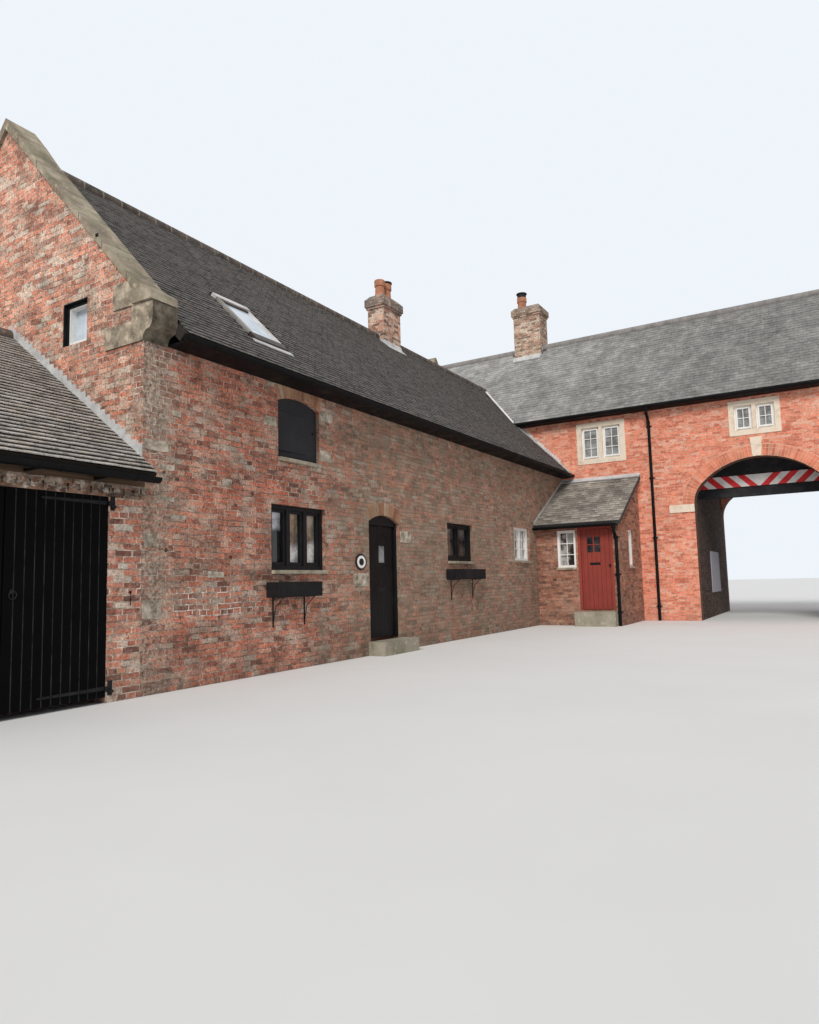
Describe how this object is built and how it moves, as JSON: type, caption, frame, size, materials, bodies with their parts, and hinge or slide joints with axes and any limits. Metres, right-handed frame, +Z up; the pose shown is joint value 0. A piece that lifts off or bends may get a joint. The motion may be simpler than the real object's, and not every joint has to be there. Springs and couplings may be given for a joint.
{
  "type": "brick farm range with gatehouse arch",
  "caption": "Long brick farm range with coped gables and a garage wing, meeting a taller gatehouse range with a basket-arched carriageway and a lean-to porch.",
  "frame": {"origin": "centre of the building's plan box at ground level", "axes": "+X along the main range from the garage to the gatehouse, +Y from the front yard to the back of the main range, +Z up"},
  "size_m": [23.244, 16.389, 10.998],
  "materials": {
    "brick_main": "weathered handmade red brick in lime mortar",
    "brick_gate": "bright orange-red brick",
    "brick_buff": "mottled buff and brown brick",
    "stone": "weathered buff sandstone",
    "clay_tile": "dark plain clay tiles with lichen",
    "slate": "grey stone slates",
    "lead": "dull grey sheet lead",
    "black_paint": "black painted boards",
    "black_iron": "black painted cast iron",
    "white_paint": "white painted wood",
    "red_paint": "gloss red painted wood",
    "glass": "window glass",
    "timber": "plain floor boards on joists",
    "stained_wood": "brown stained softwood",
    "floor": "stone paving on concrete",
    "terracotta": "terracotta chimney pots",
    "roof_window": "dark coated frame round glass",
    "board_white": "white board with red chevron stripes"
  },
  "bodies": {
    "building": {"main_gable_wall": "brick_main", "main_front_walls": "brick_main", "main_wall_over_door": "brick_main", "main_rear_wall": "brick_main", "main_roof_front": "clay_tile", "main_roof_rear": "clay_tile", "valley_roof": "clay_tile", "gable_copings": "stone", "kneeler_stones": "stone", "ground_floors": "floor", "upper_floors": "timber", "ridge_tiles": "clay_tile", "gutters": "black_iron", "downpipes": "black_iron", "main_chimney": "brick_main", "gatehouse_chimney": "brick_buff", "chimney_pots": "terracotta", "chimney_cowls": "black_iron", "black_window_frames": "black_paint", "white_window_frames": "white_paint", "window_glass": "glass", "window_sills": "stone", "loft_shutter": "black_paint", "front_door_frame": "black_paint", "roof_window": "roof_window", "window_boxes": "black_paint", "garage_piers": "brick_main", "garage_lintel_wall": "brick_main", "garage_eaves_plates": "stained_wood", "garage_gable_wall": "brick_main", "garage_rear_wall": "brick_main", "garage_roof_front": "clay_tile", "garage_roof_rear": "clay_tile", "lead_flashings": "lead", "gatehouse_front_walls": "brick_gate", "gatehouse_arch_wall": "brick_gate", "gatehouse_rear_walls": "brick_gate", "gatehouse_wall_over_passage": "brick_gate", "passage_walls": "brick_gate", "gatehouse_gable_walls": "brick_gate", "gatehouse_roof_front": "slate", "gatehouse_roof_rear": "slate", "arch_ring": "brick_gate", "arch_stones": "stone", "window_surrounds": "stone", "height_board": "board_white", "passage_beams": "black_paint", "porch_front_wall": "brick_main", "porch_side_wall": "brick_main", "porch_roof": "slate", "porch_door_frame": "red_paint", "door_steps": "stone", "hinge_pintles": "black_iron"},
    "garage_right_leaf": {"garage_door_right": "black_paint"},
    "garage_left_leaf": {"garage_door_left": "black_paint"},
    "front_door_leaf": {"front_door": "black_paint"},
    "porch_door_leaf": {"porch_door": "red_paint"}
  },
  "joints": [
    {"name": "garage_right_swing", "type": "hinge", "parent": "building", "child": "garage_right_leaf", "pos_m": [-8.942, 1.9305, 0], "axis": [0, 0, 1], "range_deg": [0, 105]},
    {"name": "garage_left_swing", "type": "hinge", "parent": "building", "child": "garage_left_leaf", "pos_m": [-11.128, 1.9305, 0], "axis": [0, 0, -1], "range_deg": [0, 105]},
    {"name": "front_door_swing", "type": "hinge", "parent": "building", "child": "front_door_leaf", "pos_m": [-3.185, 2.1125, 0], "axis": [0, 0, -1], "range_deg": [0, 90]},
    {"name": "porch_door_swing", "type": "hinge", "parent": "building", "child": "porch_door_leaf", "pos_m": [3.69, 0.0735, 0], "axis": [0, 0, -1], "range_deg": [0, 90]}
  ]
}
